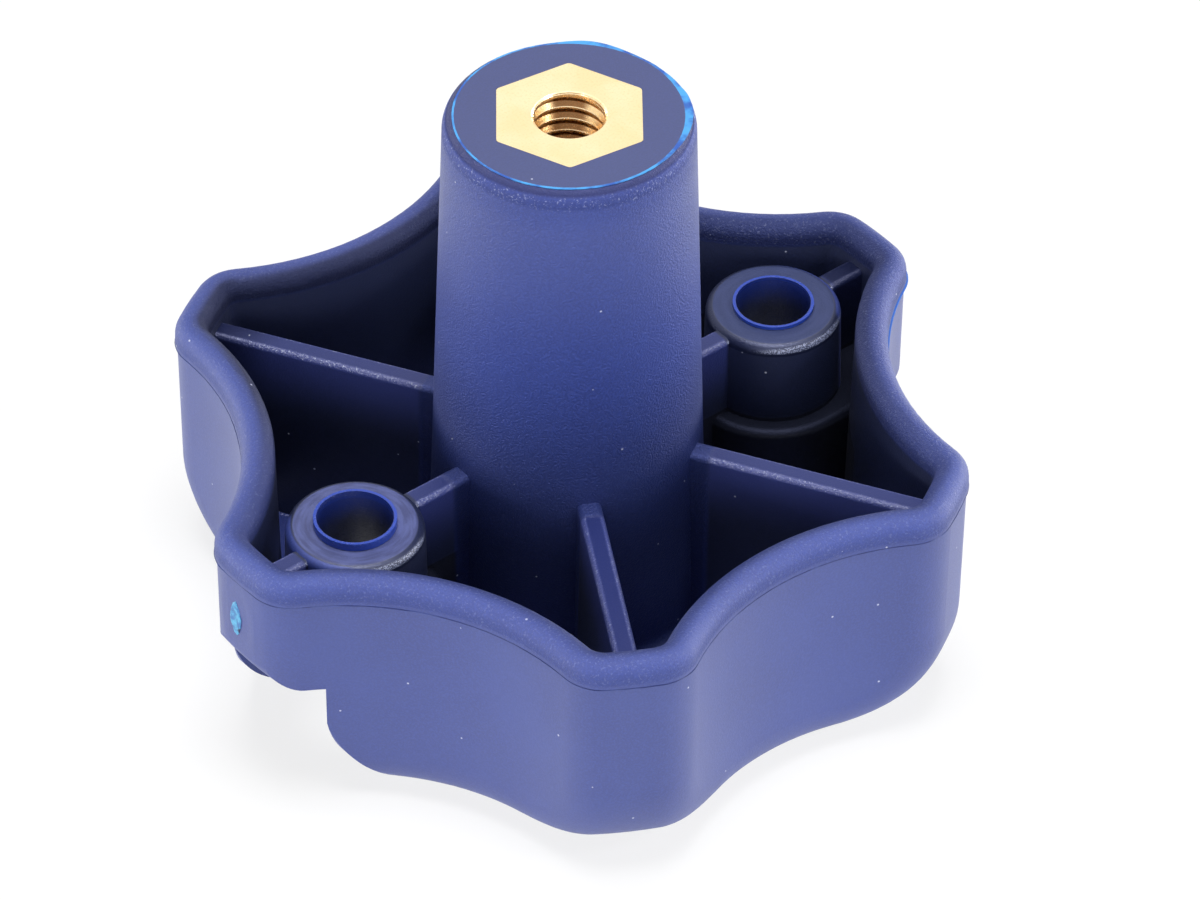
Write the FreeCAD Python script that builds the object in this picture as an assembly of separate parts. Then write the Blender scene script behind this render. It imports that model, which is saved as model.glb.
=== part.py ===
# Six-lobed star knob with a tall boss, moulded round a tapped hexagonal insert.
# It stands on its grip face; the open, ribbed underside and the boss point up (+Z).
# Lobe 0 lies on +X; the two lobes with a tubular post and an open recess are 0 and 3.
import FreeCAD, Part
import math
import os

V = FreeCAD.Vector
AXIS = V(0, 0, 1)
ORIGIN = V(0, 0, 0)

# ---- star outline, at the parting line -------------------------------------------------
LOBES = 6
tip_r = 29.12           # circle through the lobe tips
lobe_half = 3.79        # half the width of a lobe's tip, between its sharp corners
hollow_depth = 5.82     # how far each hollow between two lobes cuts in
corner_round = 3.3      # lobe corners above the parting line
edge_round = 4.0        # rounding along each hollow's edge, down the wall and over the face
wall_draft = 0.12       # how far the lower wall leans in by the grip face

# ---- heights ---------------------------------------------------------------------------
parting_z = 18.15
rim_z = 20.05
boss_z = 44.8
rib_z = 17.75
post_z = 18.05

# ---- grip face -------------------------------------------------------------------------
face_round = 7.9        # rounding of the lobe tips towards the grip face
face_flat_r = tip_r - wall_draft - face_round

# ---- rim and hollow underside ----------------------------------------------------------
lip_proud = 0.06        # the upper mould half stands out this far over the lower wall
lip_draft = 0.05        # and leans in by this much up to the rim
wall_top = 2.35         # wall thickness at the rim
wall_foot = 2.75        # wall thickness near the floor
lip_round = 1.12
floor_z = 2.6
floor_round = 4.2       # inner counterpart of face_round
hollow_round = 1.2      # corners of the hollow

# ---- boss ------------------------------------------------------------------------------
boss_top_r = 8.72
boss_foot_r = 10.1
boss_face_r = 7.9
boss_foot_round = 1.2
boss_shoulder = 1.2     # height of the rounded shoulder under the end face
boss_bulge = 0.42       # the shoulder passes this far below the end face

# ---- ribs ------------------------------------------------------------------------------
rib_top = 1.7
rib_foot = 2.2
rib_round = 0.45
rib_end_r = tip_r - 1.5 # the ribs end inside the wall

# ---- posts, their pads and the recesses in the grip face -------------------------------
post_at = tip_r - 10.12
post_top_r = 4.87
post_foot_r = 5.1
post_round = 0.68
hole_r = 2.7
ring_r = 2.93           # thin raised ring round the hole's mouth
ring_heights = (0.3, 0.65)       # at lobe 0 and at lobe 3
recess_half = 5.4
recess_z = 10.3
recess_tip_round = 1.4
ear_round = 8.6         # the lobe rounds over sooner on both sides of its recess,
ear_end = tip_r - 3.12  # upright at this distance from the axis
pad_half = 6.4
pad_z = 11.3
pad_round = 0.6

# the hollows' radius, and how far their centres lie from the axis, follow from the three
# sizes of the outline: each hollow runs from its bottom to the corners of two lobes
waist_r = tip_r - hollow_depth
corner_a = math.radians(180.0 / LOBES) - math.asin(lobe_half / tip_r)
corner_x = tip_r * math.cos(corner_a) - waist_r
corner_y = tip_r * math.sin(corner_a)
scallop_r = (corner_x ** 2 + corner_y ** 2) / (2 * corner_x)
scallop_at = waist_r + scallop_r

# ---- tapped insert ---------------------------------------------------------------------
insert_flats = 10.0
insert_corner = 0.2
insert_len = 20.0
insert_turn = 21.4      # degrees; turned at random in the mould
insert_gap = 0.01       # clearance of the moulded pocket round the insert
groove_r = 4.3
groove_w = 2.0
groove_at = 9.0         # middle of the groove below the end face
tap_r = 2.5             # M6 core hole
tap_depth = 16.0
tap_chamfer = 0.12


def lobe_angles():
    return [i * 360.0 / LOBES for i in range(LOBES)]


def turned(shape, degrees):
    copy = shape.copy()
    copy.rotate(ORIGIN, AXIS, degrees)
    return copy


def fused(shapes):
    whole = shapes[0].multiFuse(shapes[1:])
    return whole.removeSplitter()


def turned_profile(edges):
    face = Part.Face(Part.Wire(edges))
    return face.revolve(ORIGIN, AXIS, 360)


def line(a, b):
    return Part.LineSegment(a, b).toShape()


def quarter(start, centre, end):
    """Arc of a circle round centre from start to end, the short way."""
    radius = (start - centre).Length
    mid = (start + end) * 0.5 - centre
    mid.normalize()
    return Part.Arc(start, centre + mid * radius, end).toShape()


def hollow_cutters(foot_r, top_r, z0, z1):
    """Tapered cylinders that scoop the hollows between the lobes."""
    cutters = []
    for a in lobe_angles():
        mid = math.radians(a + 180.0 / LOBES)
        at = V(scallop_at * math.cos(mid), scallop_at * math.sin(mid), z0)
        cutters.append(Part.makeCone(foot_r, top_r, z1 - z0, at, AXIS))
    return cutters


def scoop_distance(point):
    """Distance of a point from the axis of the nearest hollow."""
    best = 1e9
    for a in lobe_angles():
        mid = math.radians(a + 180.0 / LOBES)
        dx = point.x - scallop_at * math.cos(mid)
        dy = point.y - scallop_at * math.sin(mid)
        best = min(best, math.hypot(dx, dy))
    return best


def middle(edge):
    return edge.valueAt((edge.FirstParameter + edge.LastParameter) / 2.0)


def scooped_edges(shape, foot_r, top_r, z0, z1, below):
    """Edges lying on the hollows' walls, except those at or above the height below."""
    found = []
    for edge in shape.Edges:
        p = middle(edge)
        wall = foot_r + (top_r - foot_r) * (p.z - z0) / (z1 - z0)
        if abs(scoop_distance(p) - wall) < 0.01 and p.z < below:
            found.append(edge)
    return found


def lower_wall():
    """Everything outside below the parting line: grip face, rounded tips, wall."""
    foot = tip_r - wall_draft
    corner = V(face_flat_r, 0, 0)
    centre = V(face_flat_r, 0, face_round)
    tangent = V(foot, 0, face_round)
    profile = [
        line(ORIGIN, corner),
        quarter(corner, centre, tangent),
        line(tangent, V(tip_r, 0, parting_z)),
        line(V(tip_r, 0, parting_z), V(0, 0, parting_z)),
        line(V(0, 0, parting_z), ORIGIN),
    ]
    body = turned_profile(profile)
    foot_scoop = scallop_r + wall_draft
    body = body.cut(hollow_cutters(foot_scoop, scallop_r, 0, parting_z))
    edges = scooped_edges(body, foot_scoop, scallop_r, 0, parting_z, parting_z - 0.1)
    return body.makeFillet(edge_round, edges)


def upper_wall():
    """Solid star between the parting line and the rim, a touch larger all round."""
    foot_r = tip_r + lip_proud
    height = rim_z - parting_z
    body = Part.makeCone(foot_r, foot_r - lip_draft, height, V(0, 0, parting_z))
    scoop = scallop_r - lip_proud
    body = body.cut(hollow_cutters(scoop, scoop + lip_draft, parting_z, rim_z))
    upright = [e for e in body.Edges if parting_z + 0.1 < middle(e).z < rim_z - 0.1]
    upright = [e for e in upright if abs(scoop_distance(middle(e)) - scoop) < 0.1]
    return body.makeFillet(corner_round, upright)


def hollow():
    """The open space inside the wall, before boss, ribs and posts are put in."""
    top_r = tip_r + lip_proud - wall_top
    foot_r = tip_r - wall_foot
    corner = V(foot_r - floor_round, 0, floor_z)
    centre = V(foot_r - floor_round, 0, floor_z + floor_round)
    tangent = V(foot_r, 0, floor_z + floor_round)
    profile = [
        line(V(0, 0, floor_z), corner),
        quarter(corner, centre, tangent),
        line(tangent, V(top_r, 0, rim_z)),
        line(V(top_r, 0, rim_z), V(0, 0, rim_z)),
        line(V(0, 0, rim_z), V(0, 0, floor_z)),
    ]
    space = turned_profile(profile)
    foot_scoop = scallop_r + wall_foot
    top_scoop = scallop_r - lip_proud + wall_top
    space = space.cut(hollow_cutters(foot_scoop, top_scoop, floor_z, rim_z))
    edges = scooped_edges(space, foot_scoop, top_scoop, floor_z, rim_z, rim_z - 0.1)
    return space.makeFillet(hollow_round, edges)


def outside():
    return lower_wall().fuse(upper_wall())


def shell():
    body = outside().cut(hollow())
    rim = [e for e in body.Edges if abs(middle(e).z - rim_z) < 0.001]
    return body.makeFillet(lip_round, rim)


def boss():
    shoulder_z = boss_z - boss_shoulder
    shoulder_r = boss_top_r + (boss_foot_r - boss_top_r) * boss_shoulder / boss_z
    edge = V(boss_face_r, 0, boss_z)
    side = V(shoulder_r, 0, shoulder_z)
    bulge = V((2 * shoulder_r + boss_face_r) / 3.0, 0, boss_z - boss_bulge)
    above = floor_z + boss_foot_round
    foot = V(boss_foot_r - (boss_foot_r - boss_top_r) * above / boss_z, 0, above)
    spread = V(foot.x + boss_foot_round, 0, floor_z)
    below = V(spread.x, 0, 1)
    profile = [
        line(V(0, 0, 1), below),
        line(below, spread),
        quarter(spread, V(spread.x, 0, above), foot),
        line(foot, side),
        Part.Arc(side, bulge, edge).toShape(),
        line(edge, V(0, 0, boss_z)),
        line(V(0, 0, boss_z), V(0, 0, 1)),
    ]
    return turned_profile(profile)


def rib(inner_r, outer_r):
    """Drafted rib along +X with rounded top edges."""
    half_top = rib_top / 2.0
    half_foot = rib_foot / 2.0
    corners = [
        V(inner_r, -half_foot, floor_z - 1),
        V(inner_r, half_foot, floor_z - 1),
        V(inner_r, half_top, rib_z),
        V(inner_r, -half_top, rib_z),
    ]
    face = Part.Face(Part.makePolygon(corners + corners[:1]))
    web = face.extrude(V(outer_r - inner_r, 0, 0))
    top = [e for e in web.Edges if abs(middle(e).z - rib_z) < 0.001]
    top = [e for e in top if abs(abs(middle(e).y) - half_top) < 0.001]
    return web.makeFillet(rib_round, top)


def u_block(half, centre_r, end_r, z0, z1):
    """Block along +X, its inner end rounded about centre_r."""
    bar = Part.makeBox(end_r - centre_r, 2 * half, z1 - z0, V(centre_r, -half, z0))
    end = Part.makeCylinder(half, z1 - z0, V(centre_r, 0, z0))
    return bar.fuse(end).removeSplitter()


def pad():
    block = u_block(pad_half, post_at, rib_end_r, floor_z - 1, pad_z)
    top = [e for e in block.Edges if abs(middle(e).z - pad_z) < 0.001]
    top = [e for e in top if middle(e).x < rib_end_r - 0.01]
    return block.makeFillet(pad_round, top)


def post(ring_height):
    """Tubular post standing on its pad, with the raised ring, not yet bored."""
    column = Part.makeCone(post_foot_r, post_top_r, post_z - pad_z + 2, V(post_at, 0, pad_z - 2))
    top = [e for e in column.Edges if abs(middle(e).z - post_z) < 0.001]
    column = column.makeFillet(post_round, top)
    ring = Part.makeCylinder(ring_r, 1 + ring_height, V(post_at, 0, post_z - 1))
    return column.fuse(ring)


def recess():
    """The slot cut in from the grip face, open at the lobe tip."""
    slot = u_block(recess_half, post_at, tip_r + 5, -1, recess_z)
    bore = Part.makeCylinder(hole_r, 12, V(post_at, 0, recess_z - 1))
    return slot.fuse([bore, recess_tip()])


def ears():
    """Cutter that rounds the lobe over on both sides of the recess."""
    flat_end = ear_end - ear_round
    start = V(flat_end, -tip_r, 0)
    end = V(ear_end, -tip_r, ear_round)
    profile = [
        quarter(start, V(flat_end, -tip_r, ear_round), end),
        line(end, V(ear_end, -tip_r, -1)),
        line(V(ear_end, -tip_r, -1), V(flat_end, -tip_r, -1)),
        line(V(flat_end, -tip_r, -1), start),
    ]
    return Part.Face(Part.Wire(profile)).extrude(V(0, 2 * tip_r, 0))


def recess_tip():
    """Cutter that rounds the recess's ceiling over into the wall of the lobe tip."""
    wall = tip_r - 0.2
    start = V(wall - recess_tip_round, 0, recess_z)
    centre = V(wall - recess_tip_round, 0, recess_z + recess_tip_round)
    end = V(wall, 0, recess_z + recess_tip_round)
    far = tip_r + 3
    profile = [
        quarter(start, centre, end),
        line(end, V(far, 0, end.z)),
        line(V(far, 0, end.z), V(far, 0, recess_z - 1)),
        line(V(far, 0, recess_z - 1), V(start.x, 0, recess_z - 1)),
        line(V(start.x, 0, recess_z - 1), start),
    ]
    slice_box = Part.makeBox(far, 2 * recess_half, rim_z, V(10, -recess_half, 0))
    return turned_profile(profile).common(slice_box)


def hexagon(flats, corner, z0, z1):
    radius = flats / math.sqrt(3.0)
    corners = []
    for i in range(6):
        a = math.radians(60.0 * i + 30.0)
        corners.append(V(radius * math.cos(a), radius * math.sin(a), z0))
    bar = Part.Face(Part.makePolygon(corners + corners[:1])).extrude(V(0, 0, z1 - z0))
    upright = [e for e in bar.Edges if abs(middle(e).z - (z0 + z1) / 2.0) < 0.001]
    return turned(bar.makeFillet(corner, upright), insert_turn)


def insert_outside(gap):
    """Hexagonal bar with a turned groove; gap swells it to make the pocket."""
    bar = hexagon(insert_flats + 2 * gap, insert_corner, boss_z - insert_len - gap, boss_z)
    mid = boss_z - groove_at
    width = groove_w - 2 * gap
    ring = Part.makeCylinder(insert_flats, width, V(0, 0, mid - width / 2.0))
    core = Part.makeCylinder(groove_r + gap, width, V(0, 0, mid - width / 2.0))
    return bar.cut(ring.cut(core))


def threaded_insert():
    bar = insert_outside(0.0)
    foot = boss_z - tap_depth
    core = Part.makeCylinder(tap_r, tap_depth, V(0, 0, foot))
    point = Part.makeCone(0.0, tap_r, tap_r * 0.6, V(0, 0, foot - tap_r * 0.6))
    mouth = Part.makeCone(tap_r, tap_r + tap_chamfer, tap_chamfer, V(0, 0, boss_z - tap_chamfer))
    return bar.cut([core, point, mouth])


def knob_body():
    posts = [0.0, 180.0]
    webs = [turned(rib(6.0, rib_end_r), angle) for angle in lobe_angles()]
    webs = webs + [turned(pad(), angle) for angle in posts]
    webs = fused(webs).common(outside())
    inside = [boss(), webs]
    for angle, height in zip(posts, ring_heights):
        inside.append(turned(post(height), angle))
    body = fused([shell()] + inside)
    for angle in posts:
        body = body.cut([turned(recess(), angle), turned(ears(), angle)])
    return body.cut(insert_outside(insert_gap))


os.makedirs("parts", exist_ok=True)
knob_body().exportStep("parts/knob_body.step")
threaded_insert().exportStep("parts/threaded_insert.step")
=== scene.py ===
import bpy, bmesh, math
from mathutils import Vector, Matrix, noise


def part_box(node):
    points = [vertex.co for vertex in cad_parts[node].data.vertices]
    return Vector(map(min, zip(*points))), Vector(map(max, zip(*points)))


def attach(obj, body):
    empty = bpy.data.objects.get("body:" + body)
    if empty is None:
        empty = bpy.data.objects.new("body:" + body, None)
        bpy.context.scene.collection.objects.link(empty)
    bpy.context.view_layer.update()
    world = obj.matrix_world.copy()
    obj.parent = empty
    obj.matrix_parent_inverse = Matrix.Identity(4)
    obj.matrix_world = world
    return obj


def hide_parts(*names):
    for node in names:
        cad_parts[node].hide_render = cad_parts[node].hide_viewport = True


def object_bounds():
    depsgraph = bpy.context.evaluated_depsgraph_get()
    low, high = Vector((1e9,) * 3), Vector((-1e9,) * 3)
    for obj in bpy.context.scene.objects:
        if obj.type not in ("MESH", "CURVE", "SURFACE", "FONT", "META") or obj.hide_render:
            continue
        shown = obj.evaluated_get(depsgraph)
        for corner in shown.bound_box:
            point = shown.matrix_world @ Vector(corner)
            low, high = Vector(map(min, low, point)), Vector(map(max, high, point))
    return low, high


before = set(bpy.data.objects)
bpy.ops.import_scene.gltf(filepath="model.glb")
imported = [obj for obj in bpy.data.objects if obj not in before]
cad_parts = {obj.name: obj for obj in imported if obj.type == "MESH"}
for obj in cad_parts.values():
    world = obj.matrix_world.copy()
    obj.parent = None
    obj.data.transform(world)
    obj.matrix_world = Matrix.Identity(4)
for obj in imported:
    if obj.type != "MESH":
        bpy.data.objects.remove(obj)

cad_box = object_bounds()

# ---- threaded insert -------------------------------------------------------------------
# A brass hexagon bar with a turned groove that keys it into the plastic. Its end face is
# faced off in the lathe, and a coarse M6 thread is tapped from that face into a blind hole.
insert_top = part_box("threaded_insert")[1][2]
insert_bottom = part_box("threaded_insert")[0][2]
insert_turn = math.radians(21.4)
flats = 0.010
corner_round, corner_steps = 0.0002, 4
groove_radius, groove_sides = 0.0043, 30
groove_from, groove_to = 0.008, 0.010     # below the end face
pitch = 0.001
crest_radius = 0.00248
root_radius = 0.00276
flank_radius = root_radius - 0.00004
thread_length = 0.0145
thread_start = 0.00035                    # below the end face
turn_steps = 56
# radius, and height as a share of the pitch
thread_profile = [(crest_radius, -0.07), (crest_radius, 0.07), (flank_radius, 0.38),
                  (root_radius, 0.43), (root_radius, 0.57), (flank_radius, 0.62),
                  (crest_radius, 0.93)]
# depth below the end face, and radius
mouth_rings = (thread_start, 0.00245), (0.00016, 0.00247), (0.0, 0.00262)
hole_depth = 0.016
hole_rings = ((thread_length + 0.0003, crest_radius), (hole_depth, crest_radius),
              (hole_depth + 0.0015, 0.00002))
same_spot, near_cut = 1e-7, 1e-6


def loop(shape, height, radius, sides=turn_steps, turn=0.0, rounding=0.0):
    """One closed loop of edges round the axis, with its corners rounded where asked."""
    ring = bmesh.ops.create_circle(shape, segments=sides, radius=radius)["verts"]
    bmesh.ops.rotate(shape, verts=ring, cent=(0, 0, 0),
                     matrix=Matrix.Rotation(turn, 3, "Z"))
    if rounding:
        bmesh.ops.bevel(shape, geom=ring, affect="VERTICES", offset=rounding,
                        segments=corner_steps, profile=0.5, material=-1)
        ring = [v for v in shape.verts if v.co.z == 0.0]
    bmesh.ops.translate(shape, verts=ring, vec=(0, 0, height))
    return list(dict.fromkeys(e for v in ring for e in v.link_edges))


def hexagon_loop(shape, height):
    return loop(shape, height, flats / math.sqrt(3), 6, insert_turn, corner_round)


def groove_loop(shape, height):
    return loop(shape, height, groove_radius, groove_sides, insert_turn)


def bridge(shape, upper, lower):
    bmesh.ops.bridge_loops(shape, edges=upper + lower)


def fill(shape, edges):
    bmesh.ops.triangle_fill(shape, edges=edges, use_beauty=True)


insert = bmesh.new()
loops = [
    hexagon_loop(insert, insert_top),
    hexagon_loop(insert, insert_top - groove_from),
    groove_loop(insert, insert_top - groove_from),
    groove_loop(insert, insert_top - groove_to),
    hexagon_loop(insert, insert_top - groove_to),
    hexagon_loop(insert, insert_bottom),
]
for upper, lower in (loops[0:2], loops[2:4], loops[4:6]):
    bridge(insert, upper, lower)
for edges in (loops[1] + loops[2], loops[3] + loops[4], loops[5]):
    fill(insert, edges)

# one turn of the thread's profile, swept up the hole and cut off near the end face
thread = bmesh.new()
start = insert_top - thread_length - pitch
corners = [thread.verts.new((r, 0, start + h * pitch)) for r, h in thread_profile]
profile_edges = [thread.edges.new(pair) for pair in zip(corners, corners[1:])]
turns = int(thread_length / pitch) + 3
bmesh.ops.spin(thread, geom=corners + profile_edges, cent=(0, 0, 0), axis=(0, 0, 1),
               dvec=(0, 0, pitch / turn_steps), angle=2 * math.pi * turns,
               steps=turns * turn_steps, use_merge=False, use_duplicate=False)
bmesh.ops.remove_doubles(thread, verts=thread.verts, dist=same_spot)
for height, side in ((insert_top - thread_start, 1), (insert_top - thread_length, -1)):
    bmesh.ops.bisect_plane(thread, geom=thread.verts[:] + thread.edges[:] + thread.faces[:],
                           dist=1e-8, plane_co=(0, 0, height), plane_no=(0, 0, side),
                           clear_outer=True)
bmesh.ops.remove_doubles(thread, verts=thread.verts, dist=near_cut)
swept = bpy.data.meshes.new("thread")
thread.to_mesh(swept)
thread.free()
insert.from_mesh(swept)
bpy.data.meshes.remove(swept)


def open_edges(height):
    return [e for e in insert.edges if e.is_boundary
            and all(abs(v.co.z - height) < same_spot for v in e.verts)]


mouth = [open_edges(insert_top - thread_start)]
hole = [open_edges(insert_top - thread_length)]
mouth += [loop(insert, insert_top - depth, radius) for depth, radius in mouth_rings]
hole += [loop(insert, insert_top - depth, radius) for depth, radius in hole_rings]
fill(insert, mouth[0] + mouth[1])
for upper, lower in (*zip(mouth[1:], mouth[2:]), *zip(hole, hole[1:])):
    bridge(insert, upper, lower)
fill(insert, loops[0] + mouth[-1])
fill(insert, hole[-1])
bmesh.ops.remove_doubles(insert, verts=insert.verts, dist=same_spot)
bmesh.ops.recalc_face_normals(insert, faces=insert.faces)


def piece(name, shape, material, sharp=35):
    """Turn a finished bmesh into a smooth piece of the knob that rides on its body."""
    for face in shape.faces:
        face.smooth = True
    mesh = bpy.data.meshes.new(name)
    shape.to_mesh(mesh)
    shape.free()
    mesh.set_sharp_from_angle(angle=math.radians(sharp))
    mesh.materials.append(material)
    thing = bpy.data.objects.new(name, mesh)
    bpy.context.scene.collection.objects.link(thing)
    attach(thing, "root")
    return thing


class Wire:
    """A value in a material, so that shading can be written as sums and products."""

    def __init__(self, finish, socket):
        self.finish, self.socket = finish, socket

    def _maths(self, operation, *values):
        made = self.finish.node("Math", {"operation": operation}, dict(enumerate(values)))
        return Wire(self.finish, made.outputs[0])

    def __add__(self, other): return self._maths("ADD", self, other)
    def __radd__(self, other): return self._maths("ADD", other, self)
    def __sub__(self, other): return self._maths("SUBTRACT", self, other)
    def __rsub__(self, other): return self._maths("SUBTRACT", other, self)
    def __mul__(self, other): return self._maths("MULTIPLY", self, other)
    def __rmul__(self, other): return self._maths("MULTIPLY", other, self)
    def __truediv__(self, other): return self._maths("DIVIDE", self, other)
    def __pow__(self, other): return self._maths("POWER", self, other)
    def __abs__(self): return self._maths("ABSOLUTE", self)


class Finish:
    """A material, or the tent's light, under construction."""

    def __init__(self, name, made_of=bpy.data.materials, surface="Principled BSDF", **constants):
        self.material = made_of.new(name)
        self.material.use_nodes = True
        self.tree = self.material.node_tree
        self.surface = self.tree.nodes[surface]
        for socket, value in constants.items():
            self.surface.inputs[socket.replace("_", " ")].default_value = value

    def node(self, kind, settings, values):
        made = self.tree.nodes.new("ShaderNode" + kind)
        for setting, value in settings.items():
            setattr(made, setting, value)
        for socket, value in values.items():
            if isinstance(value, Wire):
                self.tree.links.new(value.socket, made.inputs[socket])
            else:
                made.inputs[socket].default_value = value
        return made

    def wire(self, kind, settings, values, output=0):
        return Wire(self, self.node(kind, settings, values).outputs[output])

    def place(self):
        """Position on the knob in millimetres, as a vector."""
        where = self.wire("TexCoord", {}, {}, "Object")
        return self.wire("VectorMath", {"operation": "SCALE"}, {0: where, "Scale": 1000.0})

    def parts(self, vector):
        made = self.node("SeparateXYZ", {}, {0: vector})
        return [Wire(self, out) for out in made.outputs]

    def join(self, x, y, z):
        return self.wire("CombineXYZ", {}, {0: x, 1: y, 2: z})

    def noise(self, where, scale, detail=2.0, rough=0.5):
        return self.wire("TexNoise", {}, {"Vector": where, "Scale": scale, "Detail": detail,
                                          "Roughness": rough})

    def rise(self, value, low, high):
        """0 at low, 1 at high, smooth between them and level beyond them."""
        return self.wire("MapRange", {"interpolation_type": "SMOOTHSTEP"},
                         {"Value": value, "From Min": low, "From Max": high})

    def within(self, value, low, high, soft):
        """1 between low and high, 0 outside, with soft ends."""
        return self.rise(value, low - soft, low + soft) * self.rise(value, high + soft, high - soft)

    def blend(self, factor, first, second):
        first = first if isinstance(first, Wire) else (*first, 1)
        second = second if isinstance(second, Wire) else (*second, 1)
        return self.wire("Mix", {"data_type": "RGBA"}, {0: factor, 6: first, 7: second}, 2)

    def bump(self, height, strength, distance):
        return self.wire("Bump", {}, {"Height": height, "Strength": strength, "Distance": distance})

    def seen(self):
        """1 for rays from the camera, mirrors and glass, 0 for the rays that carry light."""
        path = self.node("LightPath", {}, {})
        camera, glossy, through = (Wire(self, path.outputs[f"Is {kind} Ray"])
                                   for kind in ("Camera", "Glossy", "Transmission"))
        return 1 - (1 - camera) * (1 - glossy) * (1 - through)

    def finish(self, **links):
        for socket, value in links.items():
            self.tree.links.new(value.socket, self.surface.inputs[socket.replace("_", " ")])
        return self.material


face_warm, face_pale, face_speck = (0.94, 0.76, 0.44), (0.96, 0.82, 0.52), (0.84, 0.60, 0.28)
bore_warm, bore_pale, crest_highlight = (0.90, 0.58, 0.27), (0.96, 0.70, 0.38), (0.95, 0.74, 0.46)
bore_shade, bore_depth_shade = (0.16, 0.055, 0.014), (0.16, 0.08, 0.03)
shade_x, shade_y = 0.63, 0.777            # towards the side of the bore that lies in shade
# in millimetres: where the end face, the painted highlight on the thread's crests and the painted
# shade low in the bore begin
face_from, crest_from, deep_from = (44.70, 44.76), (2.53, 2.49), (40.5, 36.0)
rings_per_mm = 9.0

brass = Finish("turned_brass", Metallic=1.0)
at = brass.place()
x, y, z = brass.parts(at)
radius = (x * x + y * y) ** 0.5
end_face = brass.rise(z, *face_from)
in_shade = brass.rise((x * shade_x + y * shade_y) / radius, 0.80, 0.95)
# fine rings left by the facing tool, and a light grain over them
rings = brass.noise(brass.join(radius * rings_per_mm, 0.0, 0.0), scale=1.0, detail=3.0)
grain = brass.noise(at, scale=5.0, detail=3.0, rough=0.6)
tone = brass.noise(at, scale=0.35)
bright = brass.blend(brass.rise(tone, 0.35, 0.7), face_warm, face_pale)
bright = brass.blend(brass.rise(grain, 0.48, 0.70) * 0.5, bright, face_speck)
wall = brass.blend(brass.rise(tone, 0.3, 0.7), bore_warm, bore_pale)
wall = brass.blend(in_shade * 0.9, wall, bore_shade)
# painted highlight: the thread's crests are lighter
wall = brass.blend(brass.rise(radius, *crest_from), wall, crest_highlight)
# painted shade: the bore darkens further down
wall = brass.blend(brass.rise(z, *deep_from) * 0.8, wall, bore_depth_shade)
brass.finish(
    Base_Color=brass.blend(end_face, wall, bright),
    Roughness=0.26 + 0.08 * end_face + 0.10 * brass.rise(grain, 0.4, 0.7),
    Normal=brass.bump(rings * 0.6 + grain * 0.4, strength=0.5, distance=0.00001),
)
insert = piece("threaded_insert_piece", insert, brass.material)
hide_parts("threaded_insert")

# ---- moulded knob ----------------------------------------------------------------------
# Grip, wall, ribs, posts and boss are one moulding in blue nylon, shot round the insert.
# The mould is spark-eroded, so the plastic has a satin grain; ribs and posts are smoother.
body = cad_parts["knob_body"]
parting_z, post_z, face_z = 18.15, 18.05, 44.8
post_at = 19.0
gate_y, gate_z = 0.53, 14.55

# sizes in millimetres: each pair is where a part begins to show and where it is fully there
wall_radius = 22.0, 22.5
lip_z, lip_radius = (18.2, 18.6), (17.0, 18.0)
boss_radius, boss_foot_z = (11.2, 10.6), (31.0, 11.0)
end_face_z = face_z - 0.04, face_z - 0.01
groove_z = 44.22, 44.45
post_face_radius = 4.75, 4.6
ring_radius, ring_z = (3.3, 3.1), (post_z + 0.04, post_z + 0.08)
bore_radius, bore_z = (2.76, 2.72), (15.5, 18.0)
recess_side, recess_inner, recess_roof = (5.7, 5.5), (13.0, 13.5), (10.3, 10.2)
pad_radius, pad_z, floor_z = (10.6, 10.4), (11.7, 11.5), (9.0, 8.5)
rib_side, rib_flat, rib_painted_light_z = (1.35, 1.2), (0.62, 0.40), (12.0, 18.0)
rib_span, clear_of_post = (10.8, 27.2), (4.9, 5.2)
rib_end_x, rib_end_y = (23.2, 24.4), (18.5, 22.5)
post_edge_radius, post_edge_z, painted_glint_edge_z = (4.3, 5.2), (17.2, 18.02), (17.45, 17.88)
shoulder_z = 43.4, 44.5
behind_from, far_from = (6.0, 18.0), (6.0, 16.0)
hollow_shade_z = 9.0, 18.5
seam_z = parting_z - 0.075, parting_z - 0.005
dimple_ring, dimple_wide, dimple_tall, dimple_x = (1.7, 2.4), 0.8, 3.4, (-28.0, -28.3)
# unit directions: across the slanting ribs, and towards the side that lies behind the boss
slant_x, slant_y = 0.866, 0.5
behind_x, behind_y = 0.94, 0.34

nylon, nylon_light = (0.013, 0.031, 0.200), (0.017, 0.039, 0.230)
grain_light = (0.026, 0.058, 0.310)
lip_shade, far_lip_shade = (0.005, 0.012, 0.075), (0.002, 0.004, 0.022)
# painted shade inside the wall: at the hollows' bottom, and at their top
hollow_bottom_shade, hollow_top_shade = (0.003, 0.005, 0.014), (0.014, 0.019, 0.050)
# painted light on the ribs' upper sides, and painted shade on their flat tops
rib_painted_light, rib_top_shade = (0.032, 0.045, 0.200), (0.008, 0.018, 0.120)
# painted shade at the ribs' outer ends, by the wall
rib_end_shade = (0.004, 0.007, 0.030)
# the first colour is painted shade on the pads round the posts' feet
pad_shade, floor_blue = (0.004, 0.006, 0.018), (0.010, 0.022, 0.140)
# the first colour is painted shade at the boss's foot
boss_foot_shade, face_grey = (0.006, 0.011, 0.056), (0.036, 0.044, 0.106)
# painted shade on the boss's shoulder, and a painted shadow in the groove under the fin
shoulder_shade, groove_shadow = (0.004, 0.010, 0.080), (0.003, 0.006, 0.060)
streak_dark, streak_light = (0.026, 0.036, 0.140), (0.062, 0.080, 0.240)
# painted shade on the face of the post at +x
far_post_shade = (0.008, 0.020, 0.085)
ring_blue, bore_blue = (0.006, 0.042, 0.35), (0.005, 0.022, 0.20)
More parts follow.
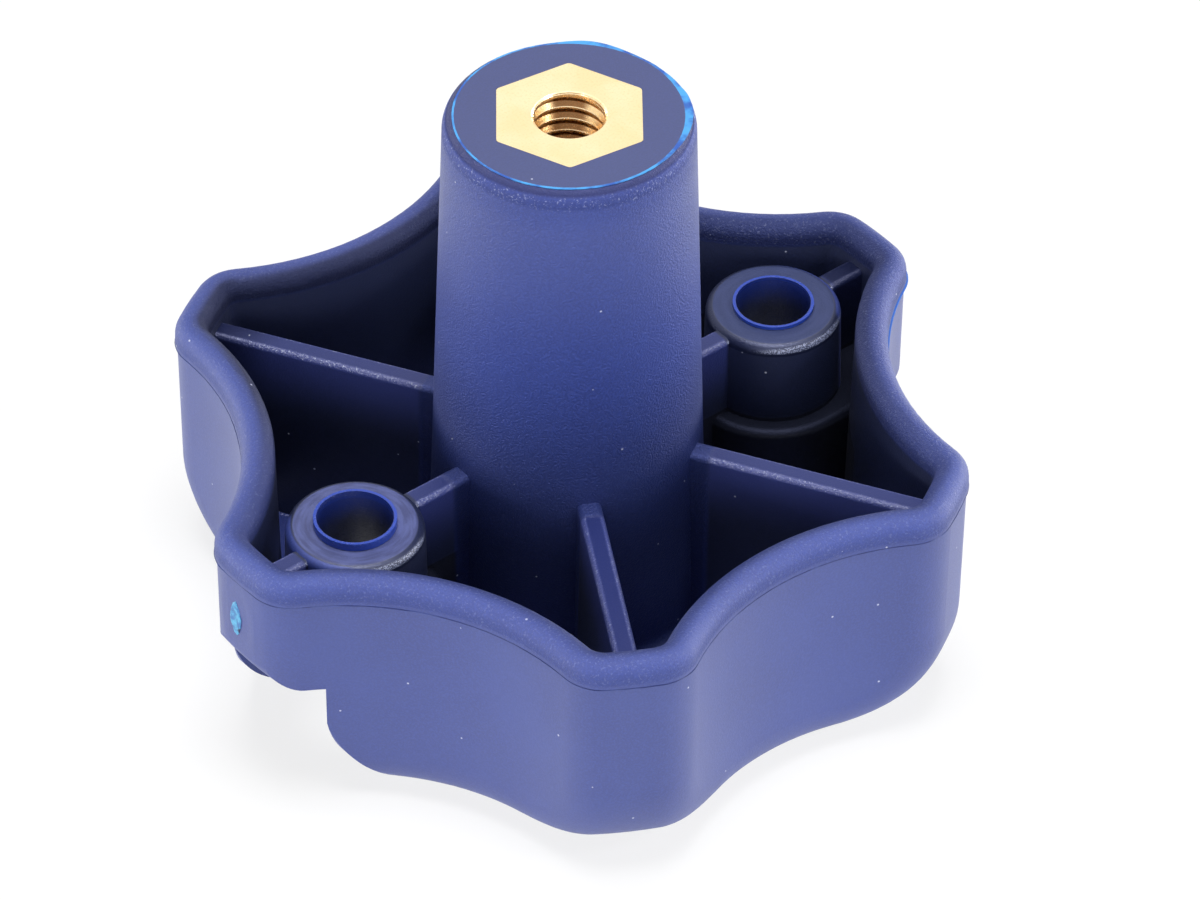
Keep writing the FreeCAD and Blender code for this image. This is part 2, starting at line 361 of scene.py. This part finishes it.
# the first colour is the painted highlight of the sparks
glint_paint_pale, seam_dark, dust_pale = (0.34, 0.38, 0.56), (0.006, 0.010, 0.060), (0.55, 0.58, 0.70)

blue = Finish("blue_nylon", Specular_IOR_Level=0.75, Coat_Roughness=0.55)
at = blue.place()
x, y, z = blue.parts(at)
nx, ny, nz = blue.parts(blue.wire("NewGeometry", {}, {}, "Normal"))
radius = (x * x + y * y) ** 0.5
from_post = abs(x) - post_at
post_radius = (from_post * from_post + y * y) ** 0.5
outwards = (x * nx + y * ny) / radius
from_post_out = (from_post * nx * x / abs(x) + y * ny) / post_radius

# where on the moulding a point lies
not_downwards = blue.rise(nz, -0.6, -0.3)
grip_wall = blue.rise(outwards, 0.25, 0.5) * blue.rise(radius, *wall_radius)
outside = 1 - (1 - grip_wall) * not_downwards
lip = blue.rise(z, *lip_z) * blue.rise(radius, *lip_radius)
boss = blue.rise(radius, *boss_radius) * not_downwards
end_face = blue.rise(z, *end_face_z) * boss
post_face = blue.within(z, post_z - 0.02, post_z + 0.03, soft=0.01)
post_face = post_face * blue.rise(post_radius, *post_face_radius)
post_ring = blue.rise(z, *ring_z) * blue.rise(post_radius, *ring_radius)
bore = blue.rise(post_radius, *bore_radius) * blue.rise(z, *bore_z)
recess = blue.rise(abs(y), *recess_side) * blue.rise(abs(x), *recess_inner)
recess = recess * blue.rise(z, *recess_roof) * blue.rise(nz, 0.4, 0.2)
pad_side = blue.rise(from_post_out, 0.0, 0.2) * blue.rise(abs(x), post_at, post_at - 0.5)
recess = recess * (1 - pad_side)
smooth_side = (1 - outside) * (1 - lip) * (1 - boss) * (1 - recess)
near_post = blue.rise(post_radius, *pad_radius) * blue.rise(z, *pad_z)
floor = smooth_side * blue.rise(nz, 0.4, 0.8) * blue.rise(z, *floor_z)
pad = near_post * smooth_side * (1 - floor)

across = abs(y), abs(x * slant_x - y * slant_y), abs(x * slant_x + y * slant_y)
rib = sum(blue.rise(distance, *rib_side) for distance in across) * smooth_side * (1 - near_post)
rib = rib * blue.within(radius, *rib_span, soft=0.2) * blue.rise(post_radius, *clear_of_post)
rib = rib * blue.rise(abs(outwards), 0.6, 0.4)
rib_mid = sum(blue.rise(distance, *rib_flat) for distance in across)
rib_top = rib * blue.rise(nz, 0.90, 0.98) * rib_mid
outer_rib = rib * (blue.rise(x, *rib_end_x) + 0.8 * blue.rise(y, *rib_end_y))
rib_edge = rib * blue.rise(nz, 0.15, 0.5) * (1 - rib_mid) * (1 - 0.8 * outer_rib)
post_edge = blue.within(post_radius, *post_edge_radius, soft=0.1) * (1 - rib)
post_edge = post_edge * blue.within(z, *post_edge_z, soft=0.02)
# the front of the posts' rims, where painted glints lie
painted_glint_edge = post_edge * blue.within(z, *painted_glint_edge_z, soft=0.05)
painted_glint_edge = painted_glint_edge * blue.rise(nx * -0.05 - ny, 0.55, 0.75)
shoulder = blue.within(z, *shoulder_z, soft=0.3) * boss * (1 - end_face)
# where the shadow under the fin is painted, and where the bump cuts a shallow groove
groove = boss * blue.rise(z, *groove_z) * (1 - end_face)
behind = blue.rise(x * behind_x + y * behind_y, *behind_from)
inward = blue.rise(outwards, 0.3, -0.4)
inner_far = blue.rise(outwards, -0.05, -0.5) * blue.rise(y, *far_from) * lip
boss_foot = blue.rise(z, *boss_foot_z) * boss
far_post = blue.rise(x, 0.0, 1.0)

# patterns: grain of the mould's surface, uneven colour, and streaks round the posts' faces
grain = blue.noise(at, scale=6.0, rough=0.6)
fine = blue.noise(at, scale=11.0, rough=0.6)
cloud = blue.noise(at, scale=0.12, detail=3.0)
glint = blue.noise(at, scale=5.5, rough=0.7)
streaks = blue.noise(blue.join(post_radius * 3.0, y * 0.5, x * 0.5), scale=1.0, detail=3.0)
faced = blue.blend(blue.rise(streaks, 0.35, 0.65), streak_dark, streak_light)
# painted shade: the face of the post at +x is darker
faced = blue.blend(far_post * 0.8, faced, far_post_shade)
# painted shade: the smooth parts inside the wall are darkened, most of all down in the hollows
hollow_shade = blue.blend(blue.rise(z, *hollow_shade_z), hollow_bottom_shade, hollow_top_shade)
# painted highlights: tiny pale sparks where a noise is high, on the boss's shoulder, the lip, the
# ribs' edges and the front of the posts' rims
sparkling = shoulder * (1 - groove) * 0.5 + lip * 0.16 * (1 - 0.8 * inner_far)
sparkling = sparkling + rib_edge * (0.5 + 0.4 * blue.rise(y, 7.0, 10.0))
spark = blue.rise(glint, 0.56, 0.70) * sparkling + blue.rise(fine, 0.46, 0.58) * painted_glint_edge * 0.8
# the shadow line under the parting line, open in some places and closed in others
seam = blue.within(z, *seam_z, soft=0.02) * grip_wall
seam = seam * blue.rise(blue.noise(at, scale=0.16), 0.44, 0.56)
dust = blue.wire("TexVoronoi", {}, {"Vector": at, "Scale": 0.42, "Randomness": 1.0}, "Distance")
# a faint dimple round the gate
gate_out = (y - gate_y) * (y - gate_y) / dimple_wide + (z - gate_z) * (z - gate_z) / dimple_tall
dimple = blue.within(gate_out ** 0.5, *dimple_ring, soft=0.35) * blue.rise(x, *dimple_x)

colour = blue.blend(blue.rise(cloud, 0.3, 0.7), nylon, nylon_light)
for where, strength, tint in (
    (blue.rise(grain, 0.42, 0.68) * (0.40 + 0.25 * boss), 1.0, grain_light),
    (lip * (0.05 + 0.60 * inward + 0.30 * behind), 1.0, lip_shade),
    (inner_far, 0.75, far_lip_shade),
    # painted shade in the hollows
    (smooth_side, 0.94, hollow_shade),
    # painted light: the ribs' sides are lighter towards their tops
    (rib * blue.rise(z, *rib_painted_light_z), 0.95, rib_painted_light),
    # painted shade: the ribs' flat tops are darker
    (rib_top, 0.9, rib_top_shade),
    # painted shade: the ribs darken at their outer ends
    (outer_rib, 0.8, rib_end_shade),
    # painted shade: the pads round the posts' feet are near black
    (pad, 1.0, pad_shade),
    (floor, 1.0, floor_blue),
    # painted shade: the boss darkens towards its foot
    (boss_foot, 0.80, boss_foot_shade),
    (end_face, 0.7, face_grey),
    # painted shade: the shoulder under the end face is a little darker
    (shoulder, 0.30, shoulder_shade),
    # painted shadow in the shallow groove under the end face's fin
    (groove, 0.8, groove_shadow),
    (post_face, 0.9, faced),
    (post_ring, 1.0, ring_blue),
    (bore, 0.8, bore_blue),
    # painted highlights: the sparks
    (spark, 1.0, glint_paint_pale),
    (seam, 0.75, seam_dark),
    (blue.rise(dust, 0.040, 0.028), 0.75, dust_pale),
):
    colour = blue.blend(where * strength, colour, tint)

rough = 0.47 + sum(where * change for where, change in (
    (outside * (1 - lip), 0.15), (lip, 0.12), (smooth_side, -0.10), (rib_edge, -0.08),
    (end_face, 0.12), (post_face, 0.22), (shoulder, 0.20), (pad, 0.15),
    (blue.rise(fine, 0.3, 0.75), 0.10),
))
# a dark metal hardly shines, so this takes the sheen off the places that lie in shade
dulled = sum(where * amount for where, amount in (
    (pad, 0.5), (pad * blue.rise(nz, 0.3, 0.7), 0.35), (floor, 0.2),
    (boss * (1 - end_face) * blue.rise(z, 42.0, 30.0), 0.40), (boss_foot, 0.1),
    (groove, 0.35), (shoulder, 0.25), (lip * (inward + behind), 0.30), (inner_far, 0.35),
    (rib_top, 0.35), (outer_rib, 0.4), (post_edge * (1 - painted_glint_edge), 0.5),
    (post_face * far_post, 0.3),
))
boss_coat = boss * blue.rise(z, 26.0, 36.0) * blue.rise(z, 43.0, 41.0)
coarse = (0.40 + 0.80 * (boss + lip) + 0.80 * rib_edge) * (1 - 0.8 * end_face)
relief = (grain * 0.6 + fine * 0.4) * coarse + dimple * 0.5 - groove * 1.2
blue.finish(
    Base_Color=colour,
    Roughness=rough,
    Coat_Weight=0.75 * outside * (1 - lip) + 0.25 * boss_coat,
    Metallic=dulled,
    Normal=blue.bump(relief, strength=0.95, distance=0.00010),
)
for slot in body.material_slots:
    slot.material = blue.material

# ---- flash round the boss's end face ---------------------------------------------------
# The mould closes on the boss's end face. A paper-thin skin of plastic has crept out there,
# ragged, bent outwards and so thin that it shows light blue.
fin_dark, fin_light = (0.012, 0.085, 0.42), (0.060, 0.34, 0.76)
fin_root = 0.00788
fin_profile = [(0.00772, -0.00001), (fin_root, -0.00030), (0.00798, -0.00012), (0.00804, -0.00001)]
fin_steps = 240
# where the fin stands out furthest and how far it spreads in degrees, and by how much
right_at, right_spread, right_reach = -36, 25, 0.00040
back_at, back_spread, back_reach = 40, 14, 0.00028
front_at, front_reach, least_reach = -80, 0.00006, 0.00001

flash = Finish("thin_flash", Specular_IOR_Level=0.6)
ragged = flash.noise(flash.place(), scale=0.6, detail=3.0, rough=0.6)
flash.finish(
    Base_Color=flash.blend(flash.rise(ragged, 0.36, 0.60), fin_dark, fin_light),
    Roughness=0.22 + 0.2 * ragged,
    Normal=flash.bump(ragged, strength=0.6, distance=0.00005),
)

fin = bmesh.new()
corners = [fin.verts.new((r, 0, face_z / 1000 + h)) for r, h in fin_profile]
profile_edges = [fin.edges.new(pair) for pair in zip(corners, corners[1:] + corners[:1])]
bmesh.ops.spin(fin, geom=corners + profile_edges, cent=(0, 0, 0), axis=(0, 0, 1),
               angle=2 * math.pi, steps=fin_steps, use_merge=True)
for v in fin.verts:
    if v.co.xy.length > fin_root + near_cut:
        around = math.atan2(v.co.y, v.co.x)
        right = math.exp(-((math.degrees(around) - right_at) / right_spread) ** 2)
        back = math.exp(-((math.degrees(around) - back_at) / back_spread) ** 2)
        front = 0.5 + 0.5 * math.cos(around - math.radians(front_at))
        wavy = noise.noise(Vector((math.cos(around), math.sin(around), 0)) * 5.0)
        jag = noise.noise(Vector((math.cos(around), math.sin(around), 3)) * 22.0)
        reach = least_reach + front_reach * front + right_reach * right + back_reach * back
        reach += (0.00002 + 0.00010 * right) * wavy + 0.000015 * jag
        v.co.xy *= 1 + max(reach, least_reach) / v.co.xy.length
bmesh.ops.recalc_face_normals(fin, faces=fin.faces)
fin = piece("boss_flash", fin, flash.material, 50)

# ---- flash along the parting line ------------------------------------------------------
# The two mould halves meet just under the lip. The plastic has squeezed out between them as
# a hair-thin light-blue edge that comes and goes round the knob.
edge_dark, edge_light, edge_wide = (0.012, 0.026, 0.150), (0.060, 0.090, 0.300), (0.030, 0.14, 0.54)
flash_depth, flash_thick = 0.00012, 0.00004
flash_reach, flash_jag, wide_reach = 0.00004, 0.00002, 0.00009
wide_from = 20                            # on the lobe at +x, in millimetres
box_margin = 8e-6

seam = bmesh.new()
seam.from_mesh(body.data)
bmesh.ops.remove_doubles(seam, verts=seam.verts, dist=same_spot)
bmesh.ops.bisect_plane(seam, geom=seam.verts[:] + seam.edges[:] + seam.faces[:], dist=1e-8,
                       plane_co=(0, 0, (parting_z + 0.03) / 1000), plane_no=(0, 0, 1),
                       clear_inner=True, clear_outer=True)
# of all the outlines in that plane, only the outermost is the parting line
edge = [max(seam.verts, key=lambda v: v.co.xy.length)]
found = set(edge)
while edge:
    near = [e.other_vert(v) for v in edge for e in v.link_edges]
    edge = [v for v in near if v not in found]
    found.update(edge)
bmesh.ops.delete(seam, geom=[v for v in seam.verts if v not in found], context="VERTS")
away = {}
for v in seam.verts:
    v.co.z = (parting_z - 0.02) / 1000
for v in seam.verts:
    ends = [e.other_vert(v) for e in v.link_edges]
    sideways = (ends[1].co - ends[0].co).normalized().cross(Vector((0, 0, 1)))
    away[v] = sideways if sideways.dot(v.co) > 0 else -sideways
spread = bmesh.ops.extrude_edge_only(seam, edges=seam.edges[:])
for v in [g for g in spread["geom"] if isinstance(g, bmesh.types.BMVert)]:
    root = next(e.other_vert(v) for e in v.link_edges if e.other_vert(v) in away)
    around = Vector((v.co.x, v.co.y, 0)) * 1000
    swell = 0.5 + noise.noise(around * 0.12 + Vector((3, 1, 0)))
    reach = flash_reach * max(0.0, min(1.0, swell * 1.6 - 0.2))
    reach += flash_jag * noise.noise(around * 1.4)
    if around.x > wide_from and around.y < 0:
        reach += wide_reach * min(1, (around.x - wide_from) / 3) * min(1, -around.y / 2)
    v.co += away[root] * max(reach, 0.0)
for v in away:
    v.co -= away[v] * flash_depth
bmesh.ops.recalc_face_normals(seam, faces=seam.faces)
bmesh.ops.solidify(seam, geom=seam.faces[:], thickness=flash_thick)
for v in seam.verts:
    for axis in (0, 1):
        limit = cad_box[1][axis] - box_margin
        v.co[axis] = max(-limit, min(limit, v.co[axis]))

edge_blue = Finish("parting_edge", Specular_IOR_Level=0.6, Roughness=0.4)
at = edge_blue.place()
ragged = edge_blue.noise(at, scale=0.35, detail=3.0, rough=0.6)
x, y, z = edge_blue.parts(at)
wide = edge_blue.rise(x, wide_from, wide_from + 2) * edge_blue.rise(y, 0.0, -1.5)
thin = edge_blue.blend(edge_blue.rise(ragged, 0.48, 0.66), edge_dark, edge_light)
edge_blue.finish(Base_Color=edge_blue.blend(wide, thin, edge_wide))
seam = piece("parting_flash", seam, edge_blue.material, 40)

# ---- gate mark -------------------------------------------------------------------------
# The plastic was injected through the tip wall of one lobe. The gate has been broken off and
# left a small oval scar, paler than the rest, with a torn edge.
scar_dark, scar_pale, nick_dark = (0.035, 0.16, 0.42), (0.10, 0.42, 0.66), (0.008, 0.015, 0.08)
nick_y, nick_z = -0.02, 13.65             # millimetres
gate_thick, gate_wide, gate_tall = 0.00016, 0.00062, 0.00150
wall_x = cad_box[0][0]

scar = Finish("gate_scar", Specular_IOR_Level=0.6)
at = scar.place()
torn = scar.noise(at, scale=2.2, detail=3.0, rough=0.65)
x, y, z = scar.parts(at)
nick = (y - nick_y) * (y - nick_y) * 5.0 + (z - nick_z) * (z - nick_z) * 4.0 + torn * 0.5
tint = scar.blend(scar.rise(torn, 0.35, 0.65), scar_dark, scar_pale)
scar.finish(
    Base_Color=scar.blend(scar.rise(nick, 0.75, 0.45), tint, nick_dark),
    Roughness=0.4 + 0.3 * torn,
    Normal=scar.bump(torn, strength=0.8, distance=0.0001),
)

gate = bmesh.new()
for v in bmesh.ops.create_icosphere(gate, subdivisions=4, radius=1.0)["verts"]:
    bumpy = 1 + 0.12 * noise.noise(v.co * 2.3) + 0.06 * noise.noise(v.co * 6.0)
    almond = 1 - 0.35 * abs(v.co.z) ** 1.5
    v.co = Vector((v.co.x * gate_thick, v.co.y * gate_wide * bumpy * almond,
                   v.co.z * gate_tall * bumpy))
bmesh.ops.translate(gate, verts=gate.verts,
                    vec=(wall_x + 0.00009, gate_y / 1000, gate_z / 1000))
for v in gate.verts:
    v.co.x = max(v.co.x, wall_x + 1e-5)
gate = piece("gate_mark", gate, scar.material, 60)

# ---- table, light and camera -----------------------------------------------------------
# A white table in a light tent. Soft boxes hang overhead, in front and at both sides; low
# strips and two small lamps add only the sheen along the walls and the glints on the lip.
table_drop = 0.00005                      # keeps the table clear of the knob's flat face
table_glow = 0.8
tent_fill = 0.05
lamp_distance = 0.9
lamp_aim = Vector((0, 0, 0.02))

scene = bpy.context.scene
bpy.ops.mesh.primitive_plane_add(size=6, location=(0, 0, -table_drop))
table = bpy.context.object
table.name = "table"

cloth = Finish("table_white", Base_Color=(0.9, 0.9, 0.9, 1), Roughness=0.9)
shaded = Wire(cloth, cloth.surface.outputs[0])
glow = cloth.wire("Emission", {}, {})
sheet = cloth.wire("MixShader", {}, {0: cloth.seen() * table_glow, 1: shaded, 2: glow})
cloth.surface = cloth.tree.nodes["Material Output"]
cloth.finish(Surface=sheet)
table.data.materials.append(cloth.material)

tent = Finish("tent", bpy.data.worlds, "Background", Color=(1, 1, 1, 1))
tent.finish(Strength=tent_fill + (1 - tent_fill) * tent.seen())
scene.world = tent.material


def soft_box(name, azimuth, elevation, width, height, power, lights_matt=True):
    lamp = bpy.data.lights.new(name, "AREA")
    lamp.shape, lamp.size, lamp.size_y, lamp.energy = "RECTANGLE", width, height, power
    box = bpy.data.objects.new(name, lamp)
    scene.collection.objects.link(box)
    box.visible_diffuse = lights_matt
    a, e = math.radians(azimuth), math.radians(elevation)
    towards = Vector((math.cos(a) * math.cos(e), math.sin(a) * math.cos(e), math.sin(e)))
    box.location = towards * lamp_distance
    box.rotation_euler = (lamp_aim - box.location).to_track_quat("-Z", "Y").to_euler()


soft_box("top_box", 231, 86, 0.4, 0.4, 8.4)
soft_box("front_box", 231, 16, 0.9, 0.4, 3.3)
soft_box("left_box", 160, 8, 0.5, 0.15, 3.4)
soft_box("right_box", 320, 8, 0.5, 0.15, 2.6)
soft_box("left_sheen", 120, 3, 0.9, 0.1, 6.5, lights_matt=False)
soft_box("right_sheen", 355, 3, 1.0, 0.1, 11, lights_matt=False)
soft_box("left_glint", 184, 46, 0.10, 0.10, 0.35, lights_matt=False)
soft_box("right_glint", 302, 40, 0.14, 0.14, 1.5)

eye = Vector((-0.25674, -0.31419, 0.36542))
ahead = Vector((0.48193, 0.58300, -0.65411))
level_right = Vector((0.77075, -0.63713, 0.0))
level_up = Vector((0.41676, 0.50415, 0.75640))
roll = math.radians(0.532)
right = math.cos(roll) * level_right + math.sin(roll) * level_up
upward = -math.sin(roll) * level_right + math.cos(roll) * level_up
lens = bpy.data.cameras.new("camera")
lens.lens, lens.sensor_width, lens.clip_start = 226.91, 36, 0.01
camera = bpy.data.objects.new("camera", lens)
scene.collection.objects.link(camera)
turned = Matrix((right, upward, -ahead)).transposed().to_4x4()
camera.matrix_world = Matrix.Translation(eye) @ turned
scene.camera = camera
scene.view_settings.view_transform = "Standard"
